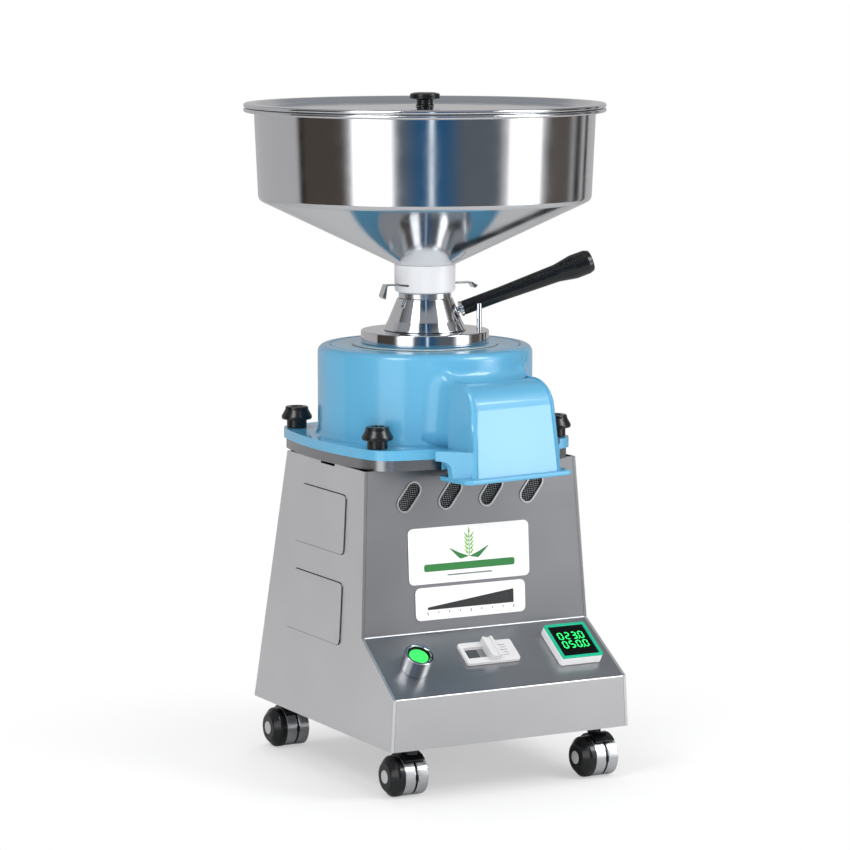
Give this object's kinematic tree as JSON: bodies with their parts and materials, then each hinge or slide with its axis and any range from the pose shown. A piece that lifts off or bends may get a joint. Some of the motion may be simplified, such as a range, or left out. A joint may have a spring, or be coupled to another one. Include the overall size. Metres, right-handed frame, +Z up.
{
  "type": "domestic flour mill",
  "caption": "Upright grain mill: round hopper with lid, round grinding head with front spout and side lever, tapered cabinet with a sloped control panel, on casters.",
  "frame": {"origin": "centre of the overall box at the floor, on the mill axis", "axes": "+Z up along the mill axis, the spout and the controls face -Y, +X is to the right seen from the front"},
  "size_m": [0.42, 0.42, 0.7823],
  "materials": {
    "cabinet_steel": "brushed, satin",
    "polished_steel": "mirror polished",
    "blue_paint": "gloss",
    "black_plastic": "semi matt",
    "white_plastic": "satin",
    "green_lens": "clear lit lens",
    "teal_frame": "lit, glossy",
    "screen": "glossy dark",
    "label_film": "satin film",
    "cast_iron": "as cast, machined faces",
    "winding": "varnished winding in a laminated core",
    "mill_stone": "dressed, rough",
    "gasket": "matt",
    "wheel_black": "semi matt"
  },
  "bodies": {
    "mill": {"front_panel": "cabinet_steel", "left_side_panel": "cabinet_steel", "right_side_panel": "cabinet_steel", "back_panel": "cabinet_steel", "base_plate": "cabinet_steel", "top_frame": "polished_steel", "vent_grille": "black_plastic", "name_label": "label_film", "scale_label": "label_film", "button_bezel": "polished_steel", "switch_plate": "white_plastic", "display_housing": "white_plastic", "display_bezel": "teal_frame", "display_window": "screen", "cable_gland": "black_plastic", "run_capacitor": "black_plastic", "motor_housing": "cast_iron", "motor_end_bell": "cast_iron", "stator": "winding", "mill_housing": "blue_paint", "spout": "blue_paint", "drum_cover": "blue_paint", "seal_ring": "gasket", "steel_ring": "polished_steel", "stop_pin": "polished_steel"},
    "spindle": {"spindle": "polished_steel", "rotor": "cast_iron", "cooling_fan": "black_plastic", "stone_holder": "cast_iron", "lower_stone": "mill_stone"},
    "upper_stone": {"stone_carrier": "cast_iron", "upper_stone": "mill_stone"},
    "lever": {"feed_cone": "polished_steel", "throat_ring": "gasket", "collar": "white_plastic", "lever_bracket": "polished_steel", "lever_grip": "black_plastic", "hopper": "polished_steel"},
    "lid": {"hopper_lid": "polished_steel", "lid_knob": "black_plastic"},
    "gate_left": {"feed_gate_left": "polished_steel"},
    "gate_right": {"feed_gate_right": "polished_steel"},
    "button": {"start_button": "green_lens"},
    "slider": {"switch_slider": "white_plastic"},
    "clamp_front_left": {"clamp_knob_front_left": "black_plastic"},
    "clamp_front_right": {"clamp_knob_front_right": "black_plastic"},
    "clamp_rear_left": {"clamp_knob_rear_left": "black_plastic"},
    "clamp_rear_right": {"clamp_knob_rear_right": "black_plastic"},
    "fork_front_left": {"caster_fork_front_left": "black_plastic"},
    "wheel_front_left": {"caster_rims_front_left": "polished_steel", "caster_cheek_front_left": "wheel_black"},
    "fork_front_right": {"caster_fork_front_right": "black_plastic"},
    "wheel_front_right": {"caster_rims_front_right": "polished_steel", "caster_cheek_front_right": "wheel_black"},
    "fork_rear_left": {"caster_fork_rear_left": "black_plastic"},
    "wheel_rear_left": {"caster_rims_rear_left": "polished_steel", "caster_cheek_rear_left": "wheel_black"},
    "fork_rear_right": {"caster_fork_rear_right": "black_plastic"},
    "wheel_rear_right": {"caster_rims_rear_right": "polished_steel", "caster_cheek_rear_right": "wheel_black"}
  },
  "joints": [
    {"name": "grind_adjust", "type": "hinge", "parent": "mill", "child": "lever", "pos_m": [0, 0, 0.53], "axis": [0, 0, 1], "range_deg": [0, 300]},
    {"name": "upper_stone_lift", "type": "slide", "parent": "mill", "child": "upper_stone", "axis": [0, 0, 1], "range_m": [0, 0.0026]},
    {"name": "spindle_spin", "type": "hinge", "parent": "mill", "child": "spindle", "pos_m": [0, 0, 0.3], "axis": [0, 0, 1], "continuous": true},
    {"name": "lid_lift", "type": "slide", "parent": "lever", "child": "lid", "axis": [0, 0, 1], "range_m": [0, 0.15]},
    {"name": "feed_gate_left_pull", "type": "slide", "parent": "lever", "child": "gate_left", "axis": [-0.9962, 0.0872, 0], "range_m": [0, 0.021]},
    {"name": "feed_gate_right_pull", "type": "slide", "parent": "lever", "child": "gate_right", "axis": [0.9962, -0.0872, 0], "range_m": [0, 0.021]},
    {"name": "start_button_press", "type": "slide", "parent": "mill", "child": "button", "axis": [0, 0.5477, -0.8367], "range_m": [0, 0.0028], "stiffness_N_per_m": 400, "springref_m": -0.003},
    {"name": "switch_slide", "type": "slide", "parent": "mill", "child": "slider", "axis": [-1, 0, 0], "range_m": [0, 0.024]},
    {"name": "clamp_turn_front_left", "type": "hinge", "parent": "mill", "child": "clamp_front_left", "pos_m": [-0.116, -0.104, 0.39], "axis": [0, 0, 1], "range_deg": [0, 720]},
    {"name": "clamp_turn_front_right", "type": "hinge", "parent": "mill", "child": "clamp_front_right", "pos_m": [0.116, -0.104, 0.39], "axis": [0, 0, 1], "range_deg": [0, 720]},
    {"name": "clamp_turn_rear_left", "type": "hinge", "parent": "mill", "child": "clamp_rear_left", "pos_m": [-0.116, 0.104, 0.39], "axis": [0, 0, 1], "range_deg": [0, 720]},
    {"name": "clamp_turn_rear_right", "type": "hinge", "parent": "mill", "child": "clamp_rear_right", "pos_m": [0.116, 0.104, 0.39], "axis": [0, 0, 1], "range_deg": [0, 720]},
    {"name": "caster_swivel_front_left", "type": "hinge", "parent": "mill", "child": "fork_front_left", "pos_m": [-0.111, -0.176, 0.058], "axis": [0, 0, 1], "continuous": true},
    {"name": "caster_roll_front_left", "type": "hinge", "parent": "fork_front_left", "child": "wheel_front_left", "pos_m": [-0.111, -0.168, 0.0235], "axis": [1, 0, 0], "continuous": true},
    {"name": "caster_swivel_front_right", "type": "hinge", "parent": "mill", "child": "fork_front_right", "pos_m": [0.128, -0.176, 0.058], "axis": [0, 0, 1], "continuous": true},
    {"name": "caster_roll_front_right", "type": "hinge", "parent": "fork_front_right", "child": "wheel_front_right", "pos_m": [0.128, -0.184, 0.0235], "axis": [1, 0, 0], "continuous": true},
    {"name": "caster_swivel_rear_left", "type": "hinge", "parent": "mill", "child": "fork_rear_left", "pos_m": [-0.116, 0.118, 0.058], "axis": [0, 0, 1], "continuous": true},
    {"name": "caster_roll_rear_left", "type": "hinge", "parent": "fork_rear_left", "child": "wheel_rear_left", "pos_m": [-0.116, 0.126, 0.0235], "axis": [1, 0, 0], "continuous": true},
    {"name": "caster_swivel_rear_right", "type": "hinge", "parent": "mill", "child": "fork_rear_right", "pos_m": [0.116, 0.118, 0.058], "axis": [0, 0, 1], "continuous": true},
    {"name": "caster_roll_rear_right", "type": "hinge", "parent": "fork_rear_right", "child": "wheel_rear_right", "pos_m": [0.116, 0.126, 0.0235], "axis": [1, 0, 0], "continuous": true}
  ],
  "couplings": [
    {"joint": "upper_stone_lift", "follows": "grind_adjust", "m_per_rad": 0.00047746}
  ]
}
